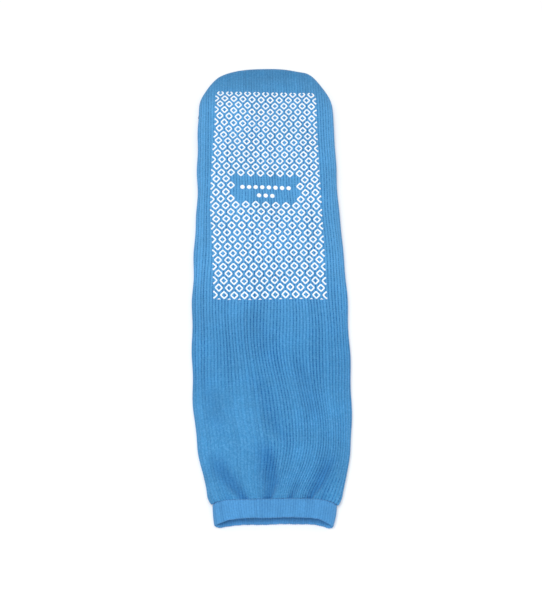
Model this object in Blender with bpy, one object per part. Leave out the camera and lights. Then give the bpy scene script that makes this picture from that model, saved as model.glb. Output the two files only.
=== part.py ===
"""Slipper sock, lying flat and empty: a terry tube with no heel, an elastic welt and grip print on both faces.

Metres, +Z up. +X runs across the sock and +Y from the cuff to the toe. The origin is on the floor, half way
along the sock and half way across it. A course is one knitted round of the tube, known by its distance from
the cuff.
"""

import math

import bpy
import numpy as np

LENGTH = 0.4126  # from the cuff's corners to the toe's tip
MOUTH_WIDTH = 0.0826  # of the flattened tube, at the free edge of the welt
CUFF_WIDTH = 0.0938  # where the welt meets the leg
LEG_WIDTH = 0.1237  # at its widest, below the calf
FOOT_WIDTH = 0.1183
MOUTH_HEIGHT = 0.0132  # the slack mouth stands a little open
LEG_HEIGHT = 0.0116  # both layers of terry and the slack between them
FOOT_HEIGHT = 0.0126
FOLD_SHARE = 0.42  # of the height, from the floor up to the side folds

WALL = 0.0020  # terry knit
CUFF_LENGTH = 0.0185
CUFF_WALL = 0.0023  # the welt is turned over on itself
RIM_ROUND = 0.0010  # how far the welt's turned edge swells past its walls
SOLE_ROLL = 0.009  # how far in from the edge the lower face starts to turn up
MOUTH_ROLL = 0.013  # the same for the upper face, at the mouth
FACE_ROLL = 0.020  # and on leg and foot

TOE_ROUND = 0.0526  # how far back from the tip the toe starts to close
TOE_POWER = {-1: 2.7, 1: 2.5}  # squareness of the toe's left and right corner, where 2 is an ellipse

TOP_SETBACK = 0.0053  # how far the raised upper edge of the mouth draws back, in the middle
SOLE_SETBACK = 0.0043
SETBACK_FADE = 0.016  # the arch of the courses falls to a third over this length

SEAM_INSET = 0.0055  # the linked toe seam lies this far from the toe's edge, on the lower face
SEAM_END_INSET = 0.0009
SEAM_WIDTH = 0.0018
SEAM_HEIGHT = 0.0007
SEAM_START = math.radians(16)  # where it leaves the side folds, as an angle round the toe
SEAM_RUN_IN = math.radians(24)

PRINT_WIDTH = 0.0932
PRINT_LENGTH = 0.204
PRINT_FROM_TIP = 0.0312
PRINT_THICKNESS = 0.0006  # of the silicone marks
WINDOW_WIDTH = 0.049  # the bare panel inside the print
WINDOW_LENGTH = 0.0196
WINDOW_FROM_TIP = 0.1249

GAP = 0.0003  # between pieces that touch
LIFT_RUN = 0.035  # the knit rises onto the sole print over this length

FACE_STEPS = 24  # facets across each face
STRAIGHT_STEPS = 21
TOE_STEPS = 10
CUFF_STEPS = 4
SEAM_STEPS = 34
SEAM_SIDES = 6
PRINT_STEPS = 6  # facets across each side panel of the print, and along it behind the window
TIP_ANGLE = math.radians(87)  # the last course before the tip, where the tip itself is at 90 degrees

TOP = 1
SOLE = -1

# A row for each section: place as a share of LENGTH, then the width, height and roll that it has there.
SECTIONS = (
    (0.000, 1.000 * MOUTH_WIDTH, 1.00 * MOUTH_HEIGHT, 1.0 * MOUTH_ROLL),
    (CUFF_LENGTH / LENGTH, 1.000 * CUFF_WIDTH, 0.92 * MOUTH_HEIGHT, 1.1 * MOUTH_ROLL),
    (0.102, 0.862 * LEG_WIDTH, 1.06 * LEG_HEIGHT, 0.8 * FACE_ROLL),
    (0.161, 0.923 * LEG_WIDTH, 1.04 * LEG_HEIGHT, 0.9 * FACE_ROLL),
    (0.254, 0.975 * LEG_WIDTH, 1.00 * LEG_HEIGHT, 1.0 * FACE_ROLL),
    (0.351, 0.994 * LEG_WIDTH, 1.02 * LEG_HEIGHT, 1.0 * FACE_ROLL),
    (0.435, 1.000 * LEG_WIDTH, 0.98 * FOOT_HEIGHT, 1.0 * FACE_ROLL),
    (0.577, 1.018 * FOOT_WIDTH, 1.00 * FOOT_HEIGHT, 1.0 * FACE_ROLL),
    (0.741, 1.000 * FOOT_WIDTH, 1.00 * FOOT_HEIGHT, 1.0 * FACE_ROLL),
    (0.873, 0.998 * FOOT_WIDTH, 1.00 * FOOT_HEIGHT, 1.0 * FACE_ROLL),
    (1.000, 0.998 * FOOT_WIDTH, 0.98 * FOOT_HEIGHT, 1.0 * FACE_ROLL),
)
PLACE, WIDTH, HEIGHT, ROLL = range(4)


def smooth_step(share):
    """Rises from 0 to 1 as share does, and starts and ends level: 3s^2 - 2s^3."""
    share = np.clip(share, 0.0, 1.0)
    return share * share * (3.0 - 2.0 * share)


def section(column, course):
    """A column of SECTIONS at these courses, on a cubic through its rows with each row's mean slope."""
    rows = np.array(SECTIONS)
    place = rows[:, PLACE] * LENGTH
    value = rows[:, column]
    slope = np.gradient(value, place)
    low = np.clip(np.searchsorted(place, course) - 1, 0, len(place) - 2)
    step = place[low + 1] - place[low]
    t = np.clip((course - place[low]) / step, 0.0, 1.0)
    start = value[low] + t * step * slope[low]
    end = value[low + 1] - (1.0 - t) * step * slope[low + 1]
    blend = smooth_step(t)
    return start + (end - start) * blend


def floor_gap(course):
    """The height of the knit's lower face: on the floor under the leg, on the sole print under the foot."""
    print_start = LENGTH - PRINT_FROM_TIP - PRINT_LENGTH
    rise = smooth_step((course - print_start + LIFT_RUN) / LIFT_RUN)
    return (PRINT_THICKNESS + GAP) * rise


def toe_power(x):
    return np.where(x < 0.0, TOE_POWER[-1], TOE_POWER[1])


def toe_reach(course):
    """How far into the closing toe a course lies, and 0 before it."""
    return np.maximum(course - (LENGTH - TOE_ROUND), 0.0)


def half_width(x, course, inset):
    """Half the flattened tube's width, which the toe closes as (x / w)^n + (reach / round)^n = 1."""
    side = section(WIDTH, course) / 2.0 - inset
    share = np.clip(toe_reach(course) / (TOE_ROUND - inset), 0.0, 1.0)
    power = toe_power(x)
    return side * (1.0 - share**power) ** (1.0 / power)


def edge_distance(x, course, inset):
    """How far a point is from the outline: (1 - r) / |gradient of r|, r^n = (x / w)^n + (reach / round)^n."""
    side = section(WIDTH, course) / 2.0 - inset
    toe = TOE_ROUND - inset
    power = toe_power(x)
    a = np.maximum(np.abs(x) / side, 1e-5)
    b = toe_reach(course) / toe
    r = (a**power + b**power) ** (1.0 / power)
    across = (a / r) ** (power - 1.0) / side
    along = (b / r) ** (power - 1.0) / toe
    return np.maximum(1.0 - r, 0.0) / np.hypot(across, along)


def face_height(x, course, face, inset=0.0):
    """The height of a face: level inside, and a quarter ellipse down or up to the fold at its edge."""
    height = section(HEIGHT, course)
    fold = floor_gap(course) + FOLD_SHARE * height
    if face == TOP:
        swell = (1.0 - FOLD_SHARE) * height - inset
        roll = section(ROLL, course) - inset
    else:
        swell = FOLD_SHARE * height - inset
        roll = SOLE_ROLL - inset
    inward = np.clip(edge_distance(x, course, inset) / roll, 0.0, 1.0)
    return fold + face * swell * np.sqrt(1.0 - (1.0 - inward) ** 2)


def course_y(x, course, face):
    """Where a course lies: the mouth's middle draws back, so courses near it arch towards the toe."""
    setback = TOP_SETBACK if face == TOP else SOLE_SETBACK
    share = np.abs(x) / (section(WIDTH, course) / 2.0)
    arch = setback * np.maximum(1.0 - share**4, 0.0) * np.exp(-course / SETBACK_FADE)
    return course + arch - LENGTH / 2.0


def face_points(x, course, face, inset=0.0, stand_off=0.0):
    """Points on a face, or stand_off clear of it."""
    z = face_height(x, course, face, inset) + face * stand_off
    return np.column_stack([x, course_y(x, course, face), z])


def ring(course, inset):
    """One course round the tube: across the top face from left to right, then back across the sole."""
    share = np.sin(np.linspace(-0.5, 0.5, FACE_STEPS + 1) * math.pi)
    course = np.full(len(share), course)
    x = share * half_width(share, course, inset)
    top = face_points(x, course, TOP, inset)
    sole = face_points(x, course, SOLE, inset)
    top[[0, -1]] = (top[[0, -1]] + sole[[0, -1]]) / 2.0
    return np.vstack([top, sole[-2:0:-1]])


def skin(rings, closed):
    """Quads between each ring and the next, and from the last back to the first if closed."""
    around = len(rings[0])
    count = len(rings)
    faces = []
    for i in range(count if closed else count - 1):
        here = i * around
        there = (i + 1) % count * around
        for j in range(around):
            k = (j + 1) % around
            faces.append((here + j, here + k, there + k, there + j))
    return faces


def zip_up(first, around):
    """Closes a flat ring by joining each point of its top to the one below it."""
    faces = []
    for i in range(around // 2):
        corners = (i, i + 1, (around - i - 1) % around, (around - i) % around)
        face = [first + corner for corner in dict.fromkeys(corners)]
        faces.append(tuple(face))
    return faces


def paint(name, colour, roughness):
    """A plain material in the piece's own colour, given as linear red, green and blue."""
    material = bpy.data.materials.new(name)
    material.use_nodes = True
    shader = material.node_tree.nodes["Principled BSDF"]
    shader.inputs["Base Color"].default_value = (*colour, 1.0)
    shader.inputs["Roughness"].default_value = roughness
    shader.inputs["Metallic"].default_value = 0.0
    return material


def piece(name, points, faces, material):
    """One closed solid, its faces turned outwards by its volume."""
    mesh = bpy.data.meshes.new(name)
    mesh.from_pydata([tuple(point) for point in points], [], faces)
    corners = np.array([[points[face[0]], points[face[i]], points[face[i + 1]]]
                        for face in faces for i in range(1, len(face) - 1)])
    if np.linalg.det(corners).sum() < 0.0:
        mesh.flip_normals()
    mesh.validate()
    mesh.shade_smooth()
    mesh.set_sharp_from_angle(angle=math.radians(40))
    mesh.materials.append(material)
    thing = bpy.data.objects.new(name, mesh)
    bpy.context.scene.collection.objects.link(thing)
    return thing


def body_courses(inset):
    """Courses from the welt to the toe's tip: close together at the welt, and again round the toe."""
    first = CUFF_LENGTH + GAP / 2.0
    toe = LENGTH - TOE_ROUND
    straight = first + (toe - first) * np.linspace(0.0, 1.0, STRAIGHT_STEPS + 1) ** 1.6
    angle = np.linspace(0.0, TIP_ANGLE, TOE_STEPS + 1)[1:]
    return np.concatenate([straight, toe + (TOE_ROUND - inset) * np.sin(angle)])


def make_knit_body(material):
    """Leg and foot in one: a hollow tube, open at the welt and closed at the toe."""
    outside = [ring(course, 0.0) for course in body_courses(0.0)]
    inside = [ring(course, WALL) for course in body_courses(WALL)]
    rings = outside[::-1] + inside
    around = 2 * FACE_STEPS
    last = (len(rings) - 1) * around
    faces = skin(rings, closed=False)
    faces += [face[::-1] for face in zip_up(0, around)]
    faces += zip_up(last, around)
    return piece("knit_body", np.vstack(rings), faces, material)


def make_cuff_welt(material):
    """The elastic band at the mouth, turned over at its free edge, cut from the body's own form."""
    courses = np.linspace(0.0, CUFF_LENGTH - GAP / 2.0, CUFF_STEPS + 1)
    outside = [ring(course, 0.0) for course in courses]
    inside = [ring(course, CUFF_WALL) for course in courses]
    edge = (outside[0] + inside[0]) / 2.0
    edge[:, 1] -= RIM_ROUND
    near_outside = (2.0 * outside[0] + edge) / 3.0
    near_inside = (2.0 * inside[0] + edge) / 3.0
    near_outside[:, 1] -= RIM_ROUND / 3.0
    near_inside[:, 1] -= RIM_ROUND / 3.0
    rings = [edge, near_outside] + outside + inside[::-1] + [near_inside]
    points = np.vstack(rings)
    points[:, 1] = np.maximum(points[:, 1], -LENGTH / 2.0)
    return piece("cuff_welt", points, skin(rings, closed=True), material)


def seam_line():
    """Where the toe seam runs on the lower face, as (x, course): inside the toe's edge, out to the folds."""
    angle = np.linspace(SEAM_START, math.pi - SEAM_START, SEAM_STEPS + 1)
    from_end = np.minimum(angle, math.pi - angle) - SEAM_START
    inset = SEAM_END_INSET + (SEAM_INSET - SEAM_END_INSET) * smooth_step(from_end / SEAM_RUN_IN)
    side = np.cos(angle)
    power = toe_power(side)
    x = np.sign(side) * (FOOT_WIDTH / 2.0 - inset) * np.abs(side) ** (2.0 / power)
    course = LENGTH - TOE_ROUND + (TOE_ROUND - inset) * np.sin(angle) ** (2.0 / power)
    return x, course


def make_toe_seam(material):
    """The raised seam that closes the toe: a low half round carried along seam_line."""
    x, course = seam_line()
    on_face = face_points(x, course, SOLE)
    nudge = 1e-5
    along_x = face_points(x + nudge, course, SOLE) - on_face
    along_y = face_points(x, course + nudge, SOLE) - on_face
    out = np.cross(along_y, along_x)
    out /= np.linalg.norm(out, axis=1)[:, None]
    run = np.gradient(on_face, axis=0)
    beside = np.cross(run, out)
    beside /= np.linalg.norm(beside, axis=1)[:, None]
    rings = []
    for turn in np.linspace(0.0, math.pi, SEAM_SIDES):
        width = SEAM_WIDTH / 2.0 * math.cos(turn)
        height = GAP + SEAM_HEIGHT * math.sin(turn)
        rings.append(on_face + width * beside + height * out)
    rings = np.stack(rings, axis=1)
    faces = skin(rings, closed=False)
    last = len(rings) - 1
    faces.append(tuple(range(SEAM_SIDES))[::-1])
    faces.append(tuple(last * SEAM_SIDES + i for i in range(SEAM_SIDES)))
    return piece("toe_seam", rings.reshape(-1, 3), faces, material)


def print_lines():
    """The grid of the print, across and along, with lines on the edges of its bare window."""
    half = PRINT_WIDTH / 2.0
    pane = WINDOW_WIDTH / 2.0
    side = np.linspace(pane, half, PRINT_STEPS + 1)
    middle = np.linspace(-pane, pane, 2 * PRINT_STEPS + 1)
    across = np.concatenate([-side[::-1], middle[1:-1], side])
    end = LENGTH - PRINT_FROM_TIP
    window = LENGTH - WINDOW_FROM_TIP
    behind = np.linspace(end - PRINT_LENGTH, window - WINDOW_LENGTH, PRINT_STEPS + 1)
    ahead = np.linspace(window, end, PRINT_STEPS + 2)
    return across, np.concatenate([behind, ahead])


def make_grip_print(name, face, material):
    """The printed field of grip marks as one thin pad on a face, with a bare window."""
    across, along = print_lines()
    x, course = (grid.ravel() for grid in np.meshgrid(across, along))
    near = face_points(x, course, face, stand_off=GAP)
    far = face_points(x, course, face, stand_off=GAP + PRINT_THICKNESS)
    columns = len(across)
    layer = len(x)
    window = LENGTH - WINDOW_FROM_TIP
    cells = {}
    for row in range(len(along) - 1):
        for column in range(columns - 1):
            beside = abs(across[column] + across[column + 1]) / 2.0 < WINDOW_WIDTH / 2.0
            middle = (along[row] + along[row + 1]) / 2.0
            if beside and window - WINDOW_LENGTH < middle < window:
                continue
            first = row * columns + column
            cells[row, column] = (first, first + 1, first + columns + 1, first + columns)
    faces = []
    borders = {}
    for cell in cells.values():
        faces.append(cell)
        faces.append(tuple(corner + layer for corner in cell[::-1]))
        for start, end in zip(cell, cell[1:] + cell[:1]):
            if (end, start) in borders:
                del borders[end, start]
            else:
                borders[start, end] = (end, start, start + layer, end + layer)
    faces += list(borders.values())
    return piece(name, np.vstack([near, far]), faces, material)


def clear_scene():
    for thing in list(bpy.data.objects):
        bpy.data.objects.remove(thing)


def main():
    clear_scene()
    terry = paint("light blue terry knit", (0.075, 0.29, 0.56), 0.95)
    elastic = paint("light blue elastic rib", (0.09, 0.33, 0.65), 0.85)
    thread = paint("linking thread", (0.06, 0.24, 0.48), 0.9)
    silicone = paint("white silicone print", (0.90, 0.90, 0.90), 0.55)
    make_knit_body(terry)
    make_cuff_welt(elastic)
    make_toe_seam(thread)
    make_grip_print("grip_print_top", TOP, silicone)
    make_grip_print("grip_print_sole", SOLE, silicone)


main()
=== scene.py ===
# %% [markdown]
# # A slipper sock, lying flat
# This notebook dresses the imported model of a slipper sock: a heel-less tube of terry knit with an elastic
# welt at its mouth, a linked seam at its toe, and white silicone grip marks on both faces of its foot. The
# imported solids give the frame, and every new surface below is worked out from the same sizes in metres, so
# it lands on them.

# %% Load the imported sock
import math

import bmesh
import bpy
import numpy as np
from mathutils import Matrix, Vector


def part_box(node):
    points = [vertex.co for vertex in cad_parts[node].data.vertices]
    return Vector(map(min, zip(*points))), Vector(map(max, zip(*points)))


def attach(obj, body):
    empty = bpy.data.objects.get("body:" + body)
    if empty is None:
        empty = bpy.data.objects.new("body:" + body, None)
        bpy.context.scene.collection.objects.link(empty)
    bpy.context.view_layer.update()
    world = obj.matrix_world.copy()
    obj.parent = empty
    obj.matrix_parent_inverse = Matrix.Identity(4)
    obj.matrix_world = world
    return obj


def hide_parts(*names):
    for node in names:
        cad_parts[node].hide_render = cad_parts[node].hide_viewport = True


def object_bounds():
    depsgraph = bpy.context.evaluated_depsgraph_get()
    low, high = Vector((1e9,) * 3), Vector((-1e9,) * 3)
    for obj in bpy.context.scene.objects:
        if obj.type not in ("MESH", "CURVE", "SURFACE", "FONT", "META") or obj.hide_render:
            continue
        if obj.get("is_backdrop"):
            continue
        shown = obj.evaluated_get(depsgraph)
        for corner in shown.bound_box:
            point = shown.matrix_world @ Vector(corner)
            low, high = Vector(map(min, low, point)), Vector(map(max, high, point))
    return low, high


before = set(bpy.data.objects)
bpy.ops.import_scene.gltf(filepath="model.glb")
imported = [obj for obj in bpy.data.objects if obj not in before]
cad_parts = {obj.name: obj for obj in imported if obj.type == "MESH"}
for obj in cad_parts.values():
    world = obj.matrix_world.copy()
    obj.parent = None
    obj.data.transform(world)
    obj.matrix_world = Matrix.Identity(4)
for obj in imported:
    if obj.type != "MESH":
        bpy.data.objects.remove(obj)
cad_box = [list(corner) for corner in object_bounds()]
for name in sorted(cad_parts):
    low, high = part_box(name)
    print(name, "in mm:", [round(size * 1000, 1) for size in high - low])

# %% [markdown]
# ## The sections of the tube
# An empty sock is two layers of cloth, so a section across it is a flat lens. A few measured sections are
# enough: each row holds a place along the sock, and the width, the height and the length of the roll-off
# that the sock has there. A cubic through the rows joins them, which gives the calf its soft swell without
# a modelled curve.

# %% Sections along the sock
LENGTH = 0.4126
CUFF_LENGTH = 0.0185
LEG_WIDTH = 0.1237
FOOT_WIDTH = 0.1183
MOUTH_HEIGHT = 0.0132
LEG_HEIGHT = 0.0116
FOOT_HEIGHT = 0.0126
SIDE_ROLL = 0.020  # how far in from a side fold the upper face starts to turn down
GAP = 0.0003  # between pieces that touch
PLACE, WIDTH, HEIGHT, ROLL = range(4)
SECTIONS = np.array([
    (0.000, 0.0826, MOUTH_HEIGHT, 0.0130),
    (CUFF_LENGTH / LENGTH, 0.0938, 0.92 * MOUTH_HEIGHT, 0.0143),
    (0.102, 0.862 * LEG_WIDTH, 1.06 * LEG_HEIGHT, 0.8 * SIDE_ROLL),
    (0.161, 0.923 * LEG_WIDTH, 1.04 * LEG_HEIGHT, 0.9 * SIDE_ROLL),
    (0.254, 0.975 * LEG_WIDTH, 1.00 * LEG_HEIGHT, SIDE_ROLL),
    (0.351, 0.994 * LEG_WIDTH, 1.02 * LEG_HEIGHT, SIDE_ROLL),
    (0.435, 1.000 * LEG_WIDTH, 0.98 * FOOT_HEIGHT, SIDE_ROLL),
    (0.577, 1.018 * FOOT_WIDTH, 1.00 * FOOT_HEIGHT, SIDE_ROLL),
    (0.741, 1.000 * FOOT_WIDTH, 1.00 * FOOT_HEIGHT, SIDE_ROLL),
    (0.873, 0.998 * FOOT_WIDTH, 1.00 * FOOT_HEIGHT, SIDE_ROLL),
    (1.000, 0.998 * FOOT_WIDTH, 0.98 * FOOT_HEIGHT, SIDE_ROLL),
])


def smooth_step(share):
    """Rises from 0 to 1 as share does, and starts and ends level: 3s^2 - 2s^3."""
    share = np.clip(share, 0.0, 1.0)
    return share * share * (3.0 - 2.0 * share)


def bell(offset):
    """A bell curve that is 1 in its middle: e to the power of minus the offset squared."""
    return np.exp(-(offset**2))


def section(column, course):
    """A column of SECTIONS at these courses, on a cubic through its rows with each row's mean slope."""
    place = SECTIONS[:, PLACE] * LENGTH
    value = SECTIONS[:, column]
    slope = np.gradient(value, place)
    low = np.clip(np.searchsorted(place, course) - 1, 0, len(place) - 2)
    step = place[low + 1] - place[low]
    t = np.clip((course - place[low]) / step, 0.0, 1.0)
    start = value[low] + t * step * slope[low]
    end = value[low + 1] - (1.0 - t) * step * slope[low + 1]
    return start + (end - start) * smooth_step(t)


print("widest, in mm:", round(1000 * section(WIDTH, np.linspace(0.0, LENGTH, 400)).max(), 1))

# %% [markdown]
# ## The height of a face
# Seen from the end, each layer is level in the middle and turns down, or up, to the fold at the sock's
# edge. A quarter of an ellipse does that turn, driven by the distance to the outline. At the toe the
# outline is a superellipse, a little squarer on the left than on the right, so the same rule also closes
# the toe. Under the foot the cloth stands off the floor by the thickness of the grip marks, and under the
# leg it lies on the floor.

# %% Face heights
TOP = 1
SOLE = -1
FOLD_SHARE = 0.42  # of the height, from the floor up to the side folds
SOLE_ROLL = 0.009
TOE_ROUND = 0.0526  # how far back from the tip the toe starts to close
TOE_POWERS = (2.7, 2.5)  # squareness of the toe's left and right corner, where 2 would be an ellipse
PRINT_LENGTH = 0.204
PRINT_FROM_TIP = 0.0312
PRINT_THICKNESS = 0.0006
LIFT_RUN = 0.035  # the knit rises onto the print of the sole over this length


def toe_power(x):
    """The power of the toe's superellipse on the side where x is."""
    return np.where(x < 0.0, *TOE_POWERS)


def floor_gap(course):
    """The height of the lower face above the floor: none under the leg, and the print's under the foot."""
    print_start = LENGTH - PRINT_FROM_TIP - PRINT_LENGTH
    return (PRINT_THICKNESS + GAP) * smooth_step((course - print_start + LIFT_RUN) / LIFT_RUN)


def edge_distance(x, course, inset):
    """How far a point is from the outline: (1 - r) / |gradient of r|, r^n = (x / w)^n + (reach / round)^n."""
    side = section(WIDTH, course) / 2.0 - inset
    toe = TOE_ROUND - inset
    power = toe_power(x)
    a = np.maximum(np.abs(x) / side, 1e-5)
    b = np.maximum(course - (LENGTH - TOE_ROUND), 0.0) / toe
    r = (a**power + b**power) ** (1.0 / power)
    across = (a / r) ** (power - 1.0) / side
    along = (b / r) ** (power - 1.0) / toe
    return np.maximum(1.0 - r, 0.0) / np.hypot(across, along)


def face_height(x, course, face, inset=0.0):
    """The height of a face: level inside, and a quarter ellipse down or up to the fold at its edge."""
    height = section(HEIGHT, course)
    swell = np.where(face == TOP, 1.0 - FOLD_SHARE, FOLD_SHARE) * height - inset
    roll = np.where(face == TOP, section(ROLL, course), SOLE_ROLL) - inset
    inward = np.clip(edge_distance(x, course, inset) / roll, 0.0, 1.0)
    fold = floor_gap(course) + FOLD_SHARE * height
    return fold + face * swell * np.sqrt(1.0 - (1.0 - inward) ** 2)


middle = np.array([0.30 * LENGTH, 0.75 * LENGTH])
print("heights of the middle, in mm:", np.round(1000 * face_height(middle * 0.0, middle, TOP), 2))

# %% [markdown]
# ## Where a course lies
# Laid down empty, the sock keeps no straight lines. The middle of the mouth draws back, more on the upper
# side than on the one beneath, the slack leg bags over the right end of the welt, and the toe's right
# corner pokes out while its shoulders fall back. Each of these is a small shift along the sock, added to
# the course.

# %% Shifts along the sock
SETBACKS = (0.0071, 0.0049)  # of the mouth's middle, on the upper side and on the sole's
BAG = 0.0028
POKE = 0.0018
LEFT_SHOULDER = 0.0045
RIGHT_SHOULDER = 0.0024


def toe_corners(x, course):
    """How the toe leaves the superellipse: a bell out at its right corner, smooth steps back beside it."""
    poke = POKE * bell((x - 0.0385) / 0.0065)
    left = LEFT_SHOULDER * smooth_step((-x - 0.039) / 0.018)
    right = RIGHT_SHOULDER * smooth_step((x - 0.042) / 0.012)
    return (poke - (left + right)) * smooth_step((course - LENGTH + TOE_ROUND) / 0.035)


def course_y(x, course, face):
    """The course as y, with an arch at the mouth that fades behind it, less a bell of bag at the joint."""
    share = x / (section(WIDTH, course) / 2.0)
    arch = np.where(face == TOP, *SETBACKS) * np.maximum(1.0 - share**6, 0.0) * np.exp(-course / 0.014)
    bag = BAG * np.maximum(share, 0.0) ** 3 * bell((course - CUFF_LENGTH) / 0.012)
    return course + arch - bag + toe_corners(x, course) - LENGTH / 2.0


print("mouth's middle, in mm:", round(1000 * float(course_y(0.0, 0.0, TOP)), 1))

# %% [markdown]
# ## Wales round the tube
# A knit is a grid of wales, which run along the sock, and courses, which run round it. So the surface is a
# function of two numbers: the turn round the tube, from 0 to 1, and the course. Turns are spaced by length
# along the cloth and not by width, because knitted ribs keep their width where the cloth rolls over the
# edge. A rib that meets the closing toe runs straight on and ends in the seam, as it does where a straight
# tube is cut and sewn round.

# %% Turns, and where each rib ends
RIBS = 104
FACE_SPAN = np.sin(np.linspace(-0.5, 0.5, 2001) * math.pi)  # from the left fold, -1, to the right one, 1
REFERENCE = np.full(len(FACE_SPAN), 0.70 * LENGTH)
REFERENCE_X = FACE_SPAN * section(WIDTH, REFERENCE) / 2.0
CLOTH_STEPS = np.hypot(np.diff(REFERENCE_X), np.diff(face_height(REFERENCE_X, REFERENCE, TOP)))
CLOTH = np.concatenate([[0.0], np.cumsum(CLOTH_STEPS)]) / CLOTH_STEPS.sum()


def share_at(turn):
    """How far across its face a turn lies, -1 to 1: left to right over the top, and back under the sole."""
    return np.interp(1.0 - np.abs(2.0 * turn - 1.0), CLOTH, FACE_SPAN)


def turn_at(share, face):
    """The turn at a share across a face, which undoes share_at."""
    half = np.interp(share, FACE_SPAN, CLOTH) / 2.0
    return np.where(face == TOP, half, 1.0 - half)


def wale_end(share, inset):
    """The course where a wale ends in the toe: the superellipse of the outline, at this share across."""
    power = toe_power(share)
    reach = np.maximum(1.0 - np.abs(share) ** power, 0.0) ** (1.0 / power)
    return LENGTH - TOE_ROUND + (TOE_ROUND - inset) * reach


def beside_crest(turn):
    """How far a turn is from the crest of its rib: 0 at the crest, and 1 in the recess between two ribs."""
    return np.abs(2.0 * np.mod(turn * RIBS, 1.0) - 1.0)


print("cloth across one face, in mm:", round(1000 * CLOTH_STEPS.sum(), 1))
print("rib spacing, in mm:", round(2000 * CLOTH_STEPS.sum() / RIBS, 2))

# %% [markdown]
# ## Troughs in the cloth
# The elastic welt is narrower than the leg, so the leg gathers behind it in a few soft troughs that fan out
# and die away, and further up it only sags in shallow slanting folds. A cloth simulation would put them
# anywhere, so all are listed, each as a line of points across and along the leg.

# %% Gathers and folds
BODY_START = CUFF_LENGTH + GAP / 2.0
PINCH_RUN = 0.018  # a trough widens over this length from where its line starts
FADE_RUN = 0.020
FADE_PAST = 0.008  # the fade reaches this far past the end of the line
# Each trough: courses from the welt up, its x at each, the widths of its left and right bank, its depth.
GATHERS = (
    (
        (0.0186, 0.0224, 0.0331, 0.0408, 0.0525),
        (-0.0215, -0.0236, -0.0316, -0.0375, -0.0415),
        0.0080, 0.0065, 0.0033,
    ),
    ((0.0186, 0.0240, 0.0300), (-0.0330, -0.0348, -0.0380), 0.0040, 0.0040, 0.0013),
    (
        (0.0186, 0.0220, 0.0310, 0.0450, 0.0620),
        (-0.0040, -0.0026, 0.0000, -0.0018, -0.0055),
        0.0095, 0.0042, 0.0034,
    ),
    ((0.0186, 0.0225, 0.0295), (0.0114, 0.0134, 0.0175), 0.0044, 0.0030, 0.0022),
    (
        (0.0186, 0.0221, 0.0303, 0.0393, 0.0507),
        (0.0250, 0.0275, 0.0335, 0.0380, 0.0430),
        0.0070, 0.0046, 0.0032,
    ),
    ((0.0186, 0.0261, 0.0339), (0.0345, 0.0375, 0.0430), 0.0040, 0.0038, 0.0014),
)
FOLDS = (
    ((0.0600, 0.0780, 0.1180), (0.0120, 0.0010, -0.0130), 0.0080, 0.0070, 0.0013),
    ((0.0700, 0.0900, 0.1150), (-0.0400, -0.0440, -0.0500), 0.0070, 0.0080, 0.0011),
    ((0.0800, 0.1050, 0.1300), (0.0330, 0.0270, 0.0200), 0.0080, 0.0060, 0.0011),
    ((0.1150, 0.1400, 0.1700), (0.0060, -0.0020, -0.0120), 0.0090, 0.0070, 0.0008),
)


def troughs(table, x, course):
    """The depth of troughs: a bell across each line, pinched where it starts, that fades at its ends."""
    depth = 0.0 * (x + course)
    for courses, places, left, right, deep in table:
        across = x - np.interp(course, courses, places)
        pinch = 0.55 + 0.45 * smooth_step((course - courses[0]) / PINCH_RUN)
        fade = smooth_step((courses[-1] + FADE_PAST - course) / FADE_RUN)
        if courses[0] > BODY_START:
            fade = fade * smooth_step((course - courses[0] + FADE_PAST) / FADE_RUN)
        depth = depth + deep * fade * bell(across / (np.where(across < 0.0, left, right) * pinch))
    return depth


def sunk(x, course):
    """How deep the cloth is sunk by its gathers and its folds together."""
    return troughs(GATHERS, x, course) + troughs(FOLDS, x, course)


across_leg, along_leg = np.meshgrid(np.linspace(-0.06, 0.06, 121), np.linspace(BODY_START, 0.17, 151))
print("deepest trough, in mm:", round(1000 * sunk(across_leg, along_leg).max(), 1))

# %% [markdown]
# ## How the rest of the cloth lies
# Between its troughs the cloth undulates: a few long waves with whole numbers of turns round the tube, so
# that they meet themselves. Over the joint with the welt the leg blouses out, is puckered by the elastic
# and then tucks in, and the upper face falls towards the toe.

# %% Waves, the blouse over the welt, and the toe's fall
WAVE_COUNT = 14
WAVES = np.random.default_rng(5)
WAVE_TURNS = WAVES.integers(2, 7, WAVE_COUNT) * WAVES.choice([-1, 1], WAVE_COUNT)
WAVE_LENGTHS = WAVES.uniform(3.0, 11.0, WAVE_COUNT)
WAVE_STARTS = WAVES.uniform(0.0, math.tau, WAVE_COUNT)
WAVE_RISE = 0.00040
PUCKER_RISE = 0.00028
BLOUSE_RISE = 0.0008
TOP_TUCK = 0.0003
SOLE_TUCK = 0.0004
TOE_FALL = 0.0022


def puckers(turn, course):
    """Small folds that the elastic draws up at the joint: two sines round the tube that beat together."""
    fade = np.exp(-(course - BODY_START) / 0.006)
    first = np.sin(math.tau * (37.0 * turn + 0.1))
    second = np.sin(math.tau * (23.0 * turn + course / 0.05))
    return fade * first * second


def waves(turn, course):
    """Long waves: the mean of sines that each have a whole number of turns round the tube."""
    total = 0.0 * (turn + course)
    for turns, lengths, start in zip(WAVE_TURNS, WAVE_LENGTHS, WAVE_STARTS):
        total = total + np.sin(math.tau * (turns * turn + lengths * course / LENGTH) + start)
    return total / math.sqrt(WAVE_COUNT)


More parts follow.
